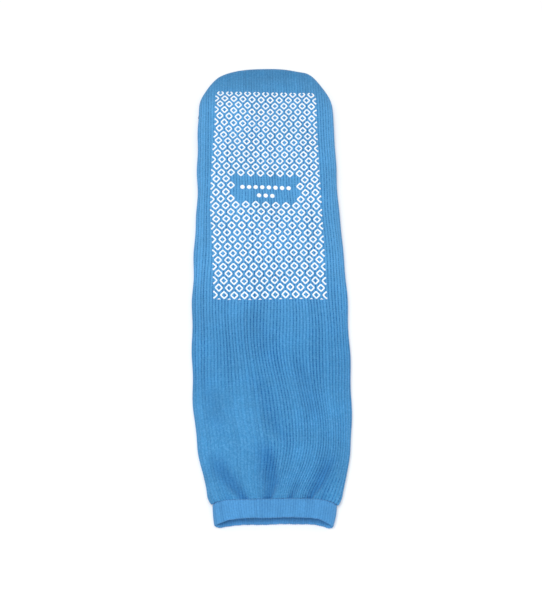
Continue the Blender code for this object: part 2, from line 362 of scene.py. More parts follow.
def lay(x, turn, course, face):
    """How far the cloth stands off its plain form: waves and blouse, less troughs, tuck and toe's fall."""
    behind = course - BODY_START
    calm = smooth_step((LENGTH - course) / 0.045)
    long_waves = WAVE_RISE * waves(turn, course) * calm * smooth_step(behind / 0.012)
    wave = long_waves + PUCKER_RISE * puckers(turn, course)
    tuck = np.exp(-behind / 0.0011)
    blouse = BLOUSE_RISE * bell((behind - 0.0045) / 0.0042) - TOP_TUCK * tuck
    lower = np.minimum(wave, 0.0) - SOLE_TUCK * tuck
    off_edge = smooth_step(edge_distance(x, course, 0.0) / 0.012)
    fall = TOE_FALL * smooth_step((course - 0.372) / 0.034) * off_edge
    return np.where(face == TOP, wave + blouse - fall - sunk(x, course), lower)


print("turns of the long waves:", WAVE_TURNS.tolist())

# %% [markdown]
# ## From a grid of points to a piece
# Every cloth surface here is the same kind of thing: rows of points that close round the tube. A few small
# helpers are enough. One gives the outward direction at each point, from the slopes of the grid. Two make
# four-sided faces, between neighbouring rows and across an end. Two more make a UV map, which counts wales
# and courses, and the last puts points, faces and UV map into a mesh.

# %% Grid helpers


def outward(points):
    """Unit normals of a grid that closes round: the slope round it crossed with the slope along it."""
    around = np.roll(points, -1, axis=1) - np.roll(points, 1, axis=1)
    normal = np.cross(around, np.gradient(points, axis=0))
    return normal / np.maximum(np.linalg.norm(normal, axis=2), 1e-15)[:, :, None]


def grid_faces(grid):
    """Four corners for each cell between a row and the next, and between the last column and the first."""
    ahead = np.roll(grid, -1, axis=1)
    return np.stack([grid[:-1], ahead[:-1], ahead[1:], grid[1:]], axis=-1).reshape(-1, 4)


def zip_cap(ring):
    """Closes a ring with an even number of points by faces that join its two sides, from end to end."""
    count = len(ring)
    i = np.arange(count // 2 - 1)
    return np.column_stack([ring[i], ring[i + 1], ring[count - 2 - i], ring[count - 1 - i]])


def corner_uv(u, v):
    """A UV for each corner of grid_faces, from u and v on a grid whose last column is its first again."""
    grid = np.stack(np.broadcast_arrays(u, v), axis=-1)
    corners = [grid[:-1, :-1], grid[:-1, 1:], grid[1:, 1:], grid[1:, :-1]]
    return np.stack(corners, axis=-2).reshape(-1, 2)


def wale_uv(turns, course):
    """The UV map of a knit: the turn round the tube, and the course as a share of the length."""
    return corner_uv(np.append(turns, 1.0)[None, :], np.hstack([course, course[:, :1]]) / LENGTH)


def cloth_piece(name, points, faces, uv):
    """A smooth mesh piece from its points, its faces and a UV for each corner of each face."""
    mesh = bpy.data.meshes.new(name)
    mesh.from_pydata(points.tolist(), [], faces.tolist())
    layer = mesh.uv_layers.new(name="wales")
    layer.data.foreach_set("uv", uv.ravel())
    mesh.shade_smooth()
    piece = bpy.data.objects.new(name, mesh)
    bpy.context.scene.collection.objects.link(piece)
    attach(piece, "root")
    first, second, third = (points[faces[:, corner]] for corner in range(3))
    volume = np.einsum("ij,ij->i", first, np.cross(second, third)).sum() / 3.0
    print(name, "has", 2 * len(faces), "triangles, and holds", round(volume * 1e6, 1), "cubic cm")
    return piece


print("faces on a grid of 3 by 4 points that closes round:", len(grid_faces(np.arange(12).reshape(3, 4))))

# %% [markdown]
# ## Wales that drift
# On a real sock at rest no rib is quite straight. They wander a little, draw together towards the welt so
# that they fan out from it, and slant across the lower leg, where the slack cloth was dragged aside as it
# was laid down. The lower leg as a whole leans to the right, and its two edges are drawn in at the joint.
# All that is a shift in x of a plain tube, so ribs, folds and marks that are put on the tube later go along
# with it.

# %% Points of the plain tube
WANDER = 0.0008
SLANT = 0.0080
FAN = 0.0110  # the ribs draw in by up to 0.38 of this
FAN_RUN = 0.028
LEAN = 0.0011
EDGE_DRAWN_IN = 0.0012


def tube_points(turn, course, face, inset):
    """Points of the tube: x from the share across and the drift, y from the course, z the face's height."""
    share = share_at(turn)
    inner = 1.0 - share**2
    half = section(WIDTH, course) / 2.0 - inset
    on_leg = course > CUFF_LENGTH
    below_foot = smooth_step((0.33 - course) / 0.05)
    wander = WANDER * (1.0 - share**4) * np.sin(course / 0.013 + 4.0 * share) * below_foot
    lower_leg = smooth_step((0.145 - course) / 0.085) * smooth_step((course - BODY_START) / 0.045)
    fan = FAN * share * inner * smooth_step((BODY_START + FAN_RUN - course) / FAN_RUN) * on_leg
    x = share * half + wander + SLANT * inner**2 * lower_leg - fan
    lean = LEAN * (1.0 + 0.5 * share) * bell((course - 0.055) / 0.028)
    drawn_in = EDGE_DRAWN_IN * share**3 * np.exp(-np.maximum(course - BODY_START, 0.0) / 0.005) * on_leg
    y = course_y(x, course, face)
    return np.stack([x + lean - drawn_in, y, face_height(x, course, face, inset)], axis=-1)


probe = tube_points(np.array([0.0, 0.25, 0.5]), np.full(3, 0.06), np.full(3, TOP), 0.0)
print("left edge, middle and right edge of the lower leg, in mm:", np.round(1000 * probe[:, 0], 1).tolist())

# %% [markdown]
# ## The knit tube
# Leg and foot are one hollow tube. It could be a thickened sheet, but then the inside would copy every rib.
# Here one grid runs from the inside of the toe back to the mouth, over the edge, and along the outside to
# the toe again, so the wall has a plain inside, which sinks with the troughs, and a ribbed outside. Each
# rib gets six columns: its crest is broad and its recess narrow, deeper on the leg than on the foot, where
# the cloth was stretched on a form for printing. Where the terry is brushed into felt, the recesses fill
# up.

# %% Ribs
WALL = 0.0020
RIB_COLUMNS = 6
TURNS = np.arange(RIBS * RIB_COLUMNS) / (RIBS * RIB_COLUMNS)
SIDE = np.where(TURNS < 0.5, TOP, SOLE)
RIB_DEPTH = 0.00064
FOOT_STRETCH = 0.00036  # of the ribs' depth, which the foot has lost
INNER_ROWS = (38, 8)  # even rows, and rows that spread into the toe
OUTER_ROWS = (86, 24)


def knit_courses(inset, straight, closing):
    """The course at each grid point: even rows up to the toe, then rows that spread to the wales' ends."""
    start = LENGTH - TOE_ROUND - 0.005
    even = BODY_START + (start - BODY_START) * np.linspace(0.0, 1.0, straight) ** 1.4
    spread = 1.0 - (1.0 - np.linspace(0.0, 1.0, closing + 1)[1:, None]) ** 2
    share = share_at(TURNS)[None, :]
    return np.vstack([even[:, None] + 0.0 * share, start + (wale_end(share, inset) - start) * spread])


def matted(x, course):
    """How far the terry is felted, 0 to 1: most on the left of the lower leg, and in slanting patches."""
    left = smooth_step((0.012 - x) / 0.040) * smooth_step((0.135 - course) / 0.050)
    slanting = np.sin(x / 0.0075 + 2.0 * np.sin(course / 0.019)) * np.sin(course / 0.012 - x / 0.016)
    patches = (0.5 + 0.5 * slanting) * 0.45
    low = 0.25 * smooth_step((0.130 - course) / 0.040) + 0.20 * smooth_step((0.048 - course) / 0.025)
    return np.clip(0.75 * left + low + patches * smooth_step((0.20 - course) / 0.05), 0.0, 1.0)


def rib_relief(x, turn, course):
    """The ribs: full at the crest, and down as the cube of the distance from it, less where matted."""
    depth = RIB_DEPTH - FOOT_STRETCH * smooth_step((course - 0.15) / 0.10)
    depth = depth * (1.0 - 0.6 * matted(x, course))
    return -depth * beside_crest(turn) ** 3 * smooth_step((wale_end(share_at(turn), 0.0) - course) / 0.004)


print("columns round the tube:", len(TURNS))
print("rows along its outside:", len(knit_courses(0.0, *OUTER_ROWS)))

# %% Knit tube
OVERHANG = 0.0009  # of the ribs over the edge of the welt, 0.4 to 1.6 times as much from rib to rib
TROUGH_SHADE_DEPTH = 0.003  # a trough as deep as this gets the full painted shade


def overhang(course):
    """How far the upper ribs hang over the welt: a bell just behind it, by a share of each rib's own."""
    by_rib = np.random.default_rng(8).uniform(0.4, 1.6, RIBS)[np.arange(len(TURNS)) // RIB_COLUMNS]
    along = bell((course - BODY_START - 0.0015) / 0.0020)
    return np.where(SIDE == TOP, OVERHANG * by_rib * along * (1.0 - 0.8 * beside_crest(TURNS) ** 2), 0.0)


def make_knit_tube():
    """Inside rows from the toe to the mouth, then outside rows back to the toe, welded along both toes."""
    inner_course = knit_courses(WALL, *INNER_ROWS)
    outer_course = knit_courses(0.0, *OUTER_ROWS)
    inner = tube_points(TURNS, inner_course, SIDE, WALL)
    inner = inner + outward(inner) * lay(inner[:, :, 0], TURNS, inner_course, SIDE)[:, :, None]
    outer = tube_points(TURNS, outer_course, SIDE, 0.0)
    x = outer[:, :, 0]
    relief = rib_relief(x, TURNS, outer_course) + lay(x, TURNS, outer_course, SIDE)
    outer = outer + outward(outer) * relief[:, :, None]
    outer[:, :, 2] = np.maximum(outer[:, :, 2], 0.0)
    outer[:, :, 1] -= overhang(outer_course)
    points = np.vstack([inner[::-1], outer])
    course = np.vstack([inner_course[::-1], outer_course])
    ids = np.arange(course.size).reshape(course.shape)
    sole_side = np.arange(len(TURNS) // 2 + 1, len(TURNS))
    for row in (0, -1):
        ids[row, sole_side] = ids[row, len(TURNS) - sole_side]
    uv = wale_uv(TURNS, course)
    tube = cloth_piece("knit_tube", points.reshape(-1, 3), grid_faces(ids), uv)
    # Painted shade for the gathers: how deep the upper face is sunk by its troughs, as a share.
    painted_trough_shade = np.clip(np.where(SIDE == TOP, sunk(x, outer_course) / TROUGH_SHADE_DEPTH, 0.0), 0.0, 1.0)
    for title, outside in (("painted_trough_shade", painted_trough_shade), ("matted", matted(x, outer_course))):
        values = np.vstack([inner_course[::-1] * 0.0, outside])
        tube.data.attributes.new(title, "FLOAT", "POINT").data.foreach_set("value", values.ravel())
    return tube


knit_tube = make_knit_tube()
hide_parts("knit_body")

# %% [markdown]
# ## The welt
# The mouth is a band of elastic rib, folded over on itself and sewn to the leg. It is a closed profile
# carried round the tube: up the outside, over the turned edge, down the inside and back. The elastic pulls
# the band in at each wale, so its ribs are fine, the turned edge is a row of tiny scallops, and the band is
# a little fuller half way. Its two ends are narrow where they meet the leg and flare towards the mouth,
# whose corners are folded round.

# %% Welt
CUFF_WALL = 0.0023
RIM_ROUND = 0.0010
RIM_REACH = 0.0022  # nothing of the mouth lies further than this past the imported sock's end
CORNER_ROUND = 0.0050  # of the mouth's two corners, where the band folds over
CORNER_PULL = 0.6
FULLER = 0.0004
JOINT_TUCK = 0.0002
FINE_RIB = 0.00013
SCALLOP = 0.45  # of the turned edge's reach, which it loses between two wales
RIM_WAVER = 0.00022
LIP_WAVER = 0.00025
FLARES = (0.0024, 0.0010)  # of the mouth's left and right end
ENDS_DRAWN_IN = 0.0017
RIM_SKEW = 0.0010


def welt_profile():
    """The band's profile as rows of course and depth, where depth 0 is the outside and 1 the inside."""
    walls = np.linspace(CUFF_LENGTH - GAP / 2.0, 0.0, 15)
    turned = np.linspace(0.0, math.pi, 9)[1:-1]
    course = np.concatenate([walls, -RIM_ROUND * np.sin(turned), walls[::-1]])
    depth = np.concatenate([walls * 0.0, (1.0 - np.cos(turned)) / 2.0, walls * 0.0 + 1.0])
    return course[:, None], depth[:, None]


def make_welt():
    """The profile at every turn: outside and inside mixed by depth, then ribs, scallops and corners."""
    course, depth = welt_profile()
    on_band = np.maximum(course, 0.0)
    outside = tube_points(TURNS, on_band + 0.0 * TURNS, SIDE, 0.0)
    inside = tube_points(TURNS, on_band + 0.0 * TURNS, SIDE, CUFF_WALL)
    points = outside + (inside - outside) * depth[:, :, None]
    beside = beside_crest(TURNS)
    share = share_at(TURNS)
    along = np.clip(on_band / CUFF_LENGTH, 0.0, 1.0)
    rim = 1.0 - along

    # The skin, raised along the outward direction.
    wall = (course[:, 0] >= 0.0) & (depth[:, 0] == 0.0)
    out = outward(outside[wall])[np.minimum(np.arange(len(course)), wall.sum() - 1)] * -1.0
    fuller = FULLER * np.sin(math.pi * along) * np.where(SIDE == TOP, 1.0, 0.0)
    skin = fuller - JOINT_TUCK * smooth_step((along - 0.85) / 0.15) - FINE_RIB * beside**2
    points = points + out * (skin * (1.0 - depth))[:, :, None]
    x, y, z = np.moveaxis(points, -1, 0)  # views, so a change of x, y or z moves the points

    # The ends of the band, across the sock.
    x += np.where(share < 0.0, *FLARES) * share * np.abs(share) * rim**1.5
    x -= ENDS_DRAWN_IN * share**3 * along

    # The turned edge, along the sock.
    waver = 0.5 * np.sin(math.tau * (7.0 * TURNS + 0.2)) + 0.5 * np.sin(math.tau * (27.0 * TURNS + 0.6))
    past = np.abs(outside[:, :, 0]) - (section(WIDTH, on_band) / 2.0 - CORNER_ROUND)
    bend = CORNER_ROUND * (1.0 - np.sqrt(1.0 - np.clip(past / CORNER_ROUND, 0.0, 1.0) ** 2))
    y += np.minimum(course, 0.0) * (1.0 - SCALLOP * beside**2)
    y += RIM_WAVER * waver * rim**2
    y -= RIM_SKEW * share**3 * rim**2
    y += CORNER_PULL * bend * rim**3
    np.maximum(y, -LENGTH / 2.0 - RIM_REACH, out=y)

    # Its height: a wavering lip, and the gathers, which the inside follows and the outside hardly does.
    gathered = troughs(GATHERS, outside[:, :, 0], BODY_START) * smooth_step((along - 0.5) / 0.5)
    z += LIP_WAVER * np.roll(waver, 9) * rim**2
    z -= np.where(SIDE == TOP, gathered, 0.0) * (0.15 + 0.85 * depth)
    np.maximum(z, 0.0, out=z)

    rows = np.append(np.arange(len(course)), 0)
    ids = np.arange(len(course) * len(TURNS)).reshape(len(course), -1)[rows]
    faces = grid_faces(ids)[:, ::-1]
    uv = wale_uv(TURNS, (on_band + 0.0 * TURNS)[rows]).reshape(-1, 4, 2)[:, ::-1].reshape(-1, 2)
    return cloth_piece("welt", points.reshape(-1, 3), faces, uv)


welt = make_welt()
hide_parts("cuff_welt")

# %% [markdown]
# ## The toe seam
# The toe is closed by linking its two layers with a thread, which leaves a low cord of stitches on the
# lower face, just inside the edge. It is a half-round profile carried along the seam's line. Each stitch is
# a small swelling of the profile, leaning along the seam as an overcast stitch does.

# %% Toe seam
SEAM_START = math.radians(16)
SEAM_INSET = 0.0055
SEAM_END_INSET = 0.0009
STITCH = 0.0021  # from one stitch of the linking to the next
CORD_HALF = 0.0009
CORD_RISE = 0.00095
CORD_ROOT = 0.0004
CORD_UNIT = 0.1  # the length of seam to each unit of its UV map


def seam_line(angle):
    """Where the seam runs on the lower face, as x and course: inside the toe's edge, and out to the folds."""
    from_end = np.minimum(angle, math.pi - angle) - SEAM_START
    inset = SEAM_END_INSET + (SEAM_INSET - SEAM_END_INSET) * smooth_step(from_end / math.radians(24))
    side = np.cos(angle)
    power = toe_power(side)
    x = np.sign(side) * (FOOT_WIDTH / 2.0 - inset) * np.abs(side) ** (2.0 / power)
    return x, LENGTH - TOE_ROUND + (TOE_ROUND - inset) * np.sin(angle) ** (2.0 / power)


def face_frame(x, course, face):
    """Points on a face and its outward directions, from the slopes across and along."""
    nudge = 1e-5
    here, right, ahead = (
        np.stack([a, course_y(a, b, face), face_height(a, b, face)], axis=-1)
        for a, b in ((x, course), (x + nudge, course), (x, course + nudge))
    )
    out = np.cross(right - here, ahead - here) * np.reshape(face, (-1, 1))
    return here, out / np.linalg.norm(out, axis=1)[:, None]


def make_toe_seam():
    """A half round at each step of the line. Its radius swells at each stitch, and lags as it goes round."""
    angle = np.linspace(SEAM_START, math.pi - SEAM_START, 641)
    x, course = seam_line(angle)
    here, out = face_frame(x, course, np.full(len(x), SOLE))
    run = np.gradient(here, axis=0)
    beside = np.cross(run, out)
    beside /= np.linalg.norm(beside, axis=1)[:, None]
    travel = np.cumsum(np.linalg.norm(run, axis=1))[:, None]
    turn = np.linspace(math.tau, 0.0, 11)[None, :-1]
    swell = 1.0 + 0.22 * np.cos(math.tau * travel / STITCH + 0.6 * turn)
    size = 0.25 + 0.75 * smooth_step(np.minimum(travel, travel[-1] - travel) / 0.004)
    width = CORD_HALF * np.cos(turn) * swell * size
    height = np.where(turn < math.pi, CORD_RISE, CORD_ROOT) * np.sin(turn) * swell * size
    points = here[:, None] + width[:, :, None] * beside[:, None] + height[:, :, None] * out[:, None]
    points[:, :, 2] = np.maximum(points[:, :, 2], 0.0)
    ids = np.arange(points[:, :, 0].size).reshape(len(angle), -1)
    faces = np.vstack([grid_faces(ids), zip_cap(ids[0])[:, ::-1], zip_cap(ids[-1])])
    uv = corner_uv(np.append(turn, 0.0)[None, :] / math.tau, travel / CORD_UNIT)
    uv = np.vstack([uv, np.zeros((4 * len(faces) - len(uv), 2))])
    return cloth_piece("toe_seam_cord", points.reshape(-1, 3), faces, uv)


toe_seam = make_toe_seam()
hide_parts("toe_seam")

# %% [markdown]
# ## Grip marks, drawn flat
# The marks are silicone, printed through a screen while the sock lies on a flat form, so they are drawn
# flat first, as x and course, and wrapped on the cloth after that. One mark is an open lozenge: a low domed
# bead carried round a four-cornered path with soft corners. Each row of them stands half a step along from
# the last. The bare panel in the field has only two short rows of plain dots.

# %% One mark
BEAD = 0.0012  # width of the printed line
LOZENGE = (0.0058, 0.0062)
LOZENGE_SOFT = 0.0005
DOT_RADIUS = 0.0019
MARK_ROOT = -0.0003  # marks reach this far into the knit


def lozenge_path(width, height, soft, corner_points=3):
    """A lozenge round its middle: a short arc at each of its corners, and straight sides between the arcs."""
    corners = np.array([[width, 0.0], [0.0, height], [-width, 0.0], [0.0, -height]]) / 2.0
    t = np.linspace(0.0, 1.0, corner_points)[:, None]
    path = []
    for before, corner, after in zip(np.roll(corners, 1, axis=0), corners, np.roll(corners, -1, axis=0)):
        start = corner + soft * (before - corner) / np.linalg.norm(before - corner)
        end = corner + soft * (after - corner) / np.linalg.norm(after - corner)
        path.append((1.0 - t) ** 2 * start + 2.0 * t * (1.0 - t) * corner + t**2 * end)
    return np.vstack(path)


def round_path(radius, count=16):
    """A circle as points."""
    turn = np.linspace(0.0, math.tau, count, endpoint=False)
    return radius * np.column_stack([np.cos(turn), np.sin(turn)])


def bead(path, half, rise):
    """A domed line carried round a closed path: across, up and down again, as points and faces."""
    run = np.roll(path, -1, axis=0) - np.roll(path, 1, axis=0)
    aside = np.column_stack([run[:, 1], -run[:, 0]]) / np.linalg.norm(run, axis=1)[:, None]
    across = np.array([1.0, 0.93, 0.55, -0.55, -0.93, -1.0])
    up = np.array([MARK_ROOT, 0.62 * rise, rise, rise, 0.62 * rise, MARK_ROOT])
    flat = path[:, None] + half * across[None, :, None] * aside[:, None]
    points = np.concatenate([flat, np.broadcast_to(up[None, :, None], flat.shape[:2] + (1,))], axis=2)
    ids = np.arange(flat.shape[0] * flat.shape[1]).reshape(flat.shape[:2])
    return points.reshape(-1, 3), grid_faces(np.vstack([ids, ids[:1]]))


def pad(path, rise):
    """A domed dot inside a closed path: rings that draw in as they rise, closed by a cap above and below."""
    scale = np.array([1.0, 1.0, 0.88, 0.5])
    up = np.array([MARK_ROOT, 0.5 * rise, 0.92 * rise, rise])
    flat = path[None, :] * scale[:, None, None]
    points = np.concatenate([flat, np.broadcast_to(up[:, None, None], flat.shape[:2] + (1,))], axis=2)
    ids = np.arange(flat.shape[0] * flat.shape[1]).reshape(flat.shape[:2])
    return points.reshape(-1, 3), np.vstack([grid_faces(ids), zip_cap(ids[0])[:, ::-1], zip_cap(ids[-1])])


print("points round one lozenge:", len(lozenge_path(*LOZENGE, LOZENGE_SOFT)))

# %% The field of marks
PRINT_WIDTH = 0.0932
PRINT_END = LENGTH - PRINT_FROM_TIP
STEP_ACROSS = 0.0084
STEP_ALONG = 0.0064
FIRST_ROW = 0.0016  # from the screen's end to the middle of the first row
WINDOW_WIDTH = 0.049  # the panel inside the print that has no lozenges
WINDOW_LENGTH = 0.0196
WINDOW_END = LENGTH - 0.1249
WINDOW_CLEAR = 0.0025
DOT_STEP = 0.0056


def repeat(points, faces, places):
    """Copies of one mark at these places, as one set of points and faces."""
    offset = np.column_stack([places, np.zeros(len(places))])
    every = (points[None, :] + offset[:, None]).reshape(-1, 3)
    return every, (faces[None, :] + len(points) * np.arange(len(places))[:, None, None]).reshape(-1, 4)


def mark_places():
    """Centres of the lozenges, every other row moved half a step, without those that touch the panel."""
    rows = np.arange(int(PRINT_LENGTH / STEP_ALONG) + 2)
    columns = np.arange(-7, 8)
    course = PRINT_END - FIRST_ROW - rows[:, None] * STEP_ALONG + 0.0 * columns[None, :]
    x = (columns[None, :] + 0.5 * (rows[:, None] % 2)) * STEP_ACROSS
    near_x = np.abs(x) < WINDOW_WIDTH / 2.0 + WINDOW_CLEAR
    near_course = np.abs(course - (WINDOW_END - WINDOW_LENGTH / 2.0)) < WINDOW_LENGTH / 2.0 + WINDOW_CLEAR
    kept = ~(near_x & near_course)
    return np.column_stack([x[kept], course[kept]])


def dot_places():
    """Centres of the plain dots in the panel: a long row, and a short one behind it."""
    long_row = np.column_stack([DOT_STEP * (np.arange(8) - 3.5), np.full(8, WINDOW_END - 0.0055)])
    short_row = np.column_stack([DOT_STEP * (np.arange(3) - 1.0), np.full(3, WINDOW_END - 0.0138)])
    return np.vstack([long_row, short_row])


print("lozenges on each face, before the edges are cut:", len(mark_places()))

# %% [markdown]
# ## Grip marks, wrapped on the cloth
# The screen's edge cuts the marks off straight, so the flat pattern is cut there with planes and the cuts
# are filled. Silicone is printed as a paste, which bridges the recesses between ribs, so its top stays
# nearly level: each point keeps its height above the plain face, plus the long waves of the cloth under it,
# and no mark floats or sinks where the sock undulates. The marks of the sole reach the floor: the sock
# stands on them.

# %% Wrapped marks
TOP_RISE = 0.00075
SOLE_RISE = 0.00088
# Each row: a course, and the share by which the printed field is narrower there, and how far it lies aside.
PRINT_LIE = np.array([
    (0.177, 0.036, 0.0004),
    (0.190, 0.036, 0.0002),
    (0.232, 0.027, -0.0006),
    (0.262, 0.010, -0.0015),
    (0.300, 0.025, -0.0014),
    (0.327, 0.042, -0.0007),
    (0.345, 0.054, -0.0001),
    (0.381, 0.058, 0.0004),
])


def printed_lie(x, course):
    """How the printed field lies on the cloth: narrower, aside and askew by amounts that vary along it."""
    places, narrower, aside = PRINT_LIE.T
    x = x * (1.0 - np.interp(course, places, narrower)) + np.interp(course, places, aside)
    askew = 0.0214 + 0.043 * smooth_step((course - 0.25) / 0.13)
    shorter = 0.0019 * (PRINT_END - course) / PRINT_LENGTH
    return x, course + shorter - askew * x + 0.0005 * np.sin(x / 0.013 + course / 0.030)


def cut_straight(mesh):
    """Cuts the flat pattern with the four planes of the screen's edge and fills what each cut opens."""
    planes = (
        ((PRINT_WIDTH / 2.0, 0.0, 0.0), (1.0, 0.0, 0.0)),
        ((-PRINT_WIDTH / 2.0, 0.0, 0.0), (-1.0, 0.0, 0.0)),
        ((0.0, PRINT_END, 0.0), (0.0, 1.0, 0.0)),
        ((0.0, PRINT_END - PRINT_LENGTH, 0.0), (0.0, -1.0, 0.0)),
    )
    for place, away in planes:
        every = mesh.verts[:] + mesh.edges[:] + mesh.faces[:]
        bmesh.ops.bisect_plane(mesh, geom=every, plane_co=place, plane_no=away, clear_outer=True)
        open_edges = [edge for edge in mesh.edges if edge.is_boundary]
        bmesh.ops.holes_fill(mesh, edges=open_edges, sides=0)


def make_marks(name, face, rise):
    """The flat pattern, cut at its edges, and each point put on the face, at its height along the normal."""
    lozenge = bead(lozenge_path(*LOZENGE, LOZENGE_SOFT), BEAD / 2.0, rise)
    ring_points, ring_faces = repeat(*lozenge, mark_places())
    dot_points, dot_faces = repeat(*pad(round_path(DOT_RADIUS), rise), dot_places())
    faces = np.vstack([ring_faces, dot_faces + len(ring_points)])
    mesh = bpy.data.meshes.new(name)
    mesh.from_pydata(np.vstack([ring_points, dot_points]).tolist(), [], faces.tolist())
    work = bmesh.new()
    work.from_mesh(mesh)
    cut_straight(work)
    bmesh.ops.triangulate(work, faces=[f for f in work.faces if len(f.verts) > 4])
    bmesh.ops.recalc_face_normals(work, faces=work.faces[:])
    work.to_mesh(mesh)
    work.free()
    flat = np.empty(3 * len(mesh.vertices))
    mesh.vertices.foreach_get("co", flat)
    x, course, height = flat.reshape(-1, 3).T
    x, course = printed_lie(x, course)
    side = np.full(len(x), face)
    here, out = face_frame(x, course, side)
    turn = turn_at(x / (section(WIDTH, course) / 2.0), side)
    wrapped = here + out * (height + lay(x, turn, course, side))[:, None]
    wrapped[:, 2] = np.maximum(wrapped[:, 2], 0.0)
    mesh.vertices.foreach_set("co", wrapped.ravel())
    if face == SOLE:
        mesh.flip_normals()
    mesh.shade_smooth()
    mesh.set_sharp_from_angle(angle=math.radians(50))
    piece = bpy.data.objects.new(name, mesh)
    bpy.context.scene.collection.objects.link(piece)
    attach(piece, "root")
    mesh.calc_loop_triangles()
    print(name, "has", len(mesh.loop_triangles), "triangles")
    return piece


top_marks = make_marks("grip_marks_top", TOP, TOP_RISE)
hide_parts("grip_print_top")
sole_marks = make_marks("grip_marks_sole", SOLE, SOLE_RISE)
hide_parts("grip_print_sole")

# %% [markdown]
# ## Colours and nodes
# Colours are written as sRGB hex values, as a picture shows them, while a shader mixes light in linear
# values, so one function turns one into the other. Materials are node trees. One small function adds a
# node with its settings and links, which keeps each material readable as a list of steps. Sockets go by
# name or by number: a Map Range takes in a range from 1 to 2 and gives it out from 3 to 4, and a Mix
# blends the colours at 6 and 7.

# %% Helpers for materials


def linear(hex_colour):
    """The linear colour of an sRGB hex value: each channel raised by the sRGB curve."""
    channel = np.array([int(hex_colour[i : i + 2], 16) for i in (1, 3, 5)]) / 255.0
    curve = np.where(channel <= 0.04045, channel / 12.92, ((channel + 0.055) / 1.055) ** 2.4)
    return (*curve.tolist(), 1.0)


def fill(tree, node, inputs):
    """Fills a node's inputs, each with a value, a socket's link, or a link to the first output of a node."""
    for socket, value in inputs.items():
        if isinstance(value, bpy.types.Node):
            value = next(output for output in value.outputs if output.enabled)
        if isinstance(value, bpy.types.NodeSocket):
            tree.links.new(value, node.inputs[socket])
        else:
            node.inputs[socket].default_value = value


def add(tree, kind, inputs=None, **settings):
    """Adds a node, sets its own properties and fills its inputs."""
    node = tree.nodes.new("ShaderNode" + kind)
    for name, setting in settings.items():
        setattr(node, name, setting)
    fill(tree, node, inputs or {})
    return node


def new_material(name):
    """A node material with its tree and its shader, whose colour and roughness are still to be set."""
    material = bpy.data.materials.new(name)
    material.use_nodes = True
    tree = material.node_tree
    return material, tree, tree.nodes["Principled BSDF"]


print("terry blue in linear values:", [round(value, 3) for value in linear("#408CC3")])

# %% [markdown]
# ## Terry knit
# The cloth is a plain rib of cotton and polyester terry yarn, dyed one light blue. To the eye it is matt
# and a little furry: each rib has a soft bright crest, and the recess beside it is painted dark as shade,
# broken up by the stitches that cross it, one to a course. The pattern follows the UV map, which counts wales
# and courses, so it stays on the ribs. The foot, stretched on its form for printing, is a little paler than
# the leg and the toe, with shallower recesses, and the toe is darkened a little more as painted shade. Where
# the leg is drawn up into gathers, an attribute of the mesh mixes in the deeper colour as painted shade in
# the troughs. Where the cloth is matted, a second attribute fades the painted shade of the recesses. A stitch
# is really about 1.3 mm long, and is drawn at 1.9 mm, as coarse as it shows at this distance.

# %% Knit pattern
COURSES = 215  # drawn stitches along the whole sock, 1.9 mm each
WELT_COURSES = 330  # 1.25 mm each
TUFTS = 800.0  # to the metre: a tuft of terry is 1.25 mm across
PATCHES = 45.0  # to the metre: the cloth's colour varies over 22 mm
FOOT_FROM = 0.34  # as shares of the length
TOE_FROM = 0.90


def knit_pattern(tree, courses):
    """From the UV map: share of the length, distance from a rib's crest, V-shaped stitches, wale, place."""
    uv = add(tree, "UVMap", uv_map="wales")
    counted = add(tree, "VectorMath", {0: uv, 1: (RIBS, courses, 1.0)}, operation="MULTIPLY")
    wales, rows = add(tree, "SeparateXYZ", {0: counted}).outputs[:2]
    part = add(tree, "Math", {0: wales}, operation="FRACT")
    centred = add(tree, "Math", {0: part, 1: 2.0, 2: -1.0}, operation="MULTIPLY_ADD")
    beside = add(tree, "Math", {0: centred}, operation="ABSOLUTE")
    leaning = add(tree, "Math", {0: beside, 1: 0.45, 2: rows}, operation="MULTIPLY_ADD")
    turn = add(tree, "Math", {0: leaning, 1: math.tau}, operation="MULTIPLY")
    stitch = add(tree, "Math", {0: turn}, operation="SINE")
    wale = add(tree, "Math", {0: wales}, operation="FLOOR")
    length = add(tree, "Math", {0: rows, 1: float(courses)}, operation="DIVIDE")
    place = add(tree, "VectorMath", {0: counted, 1: (1.0, 0.55, 1.0)}, operation="MULTIPLY")
    return length, beside, stitch, wale, place


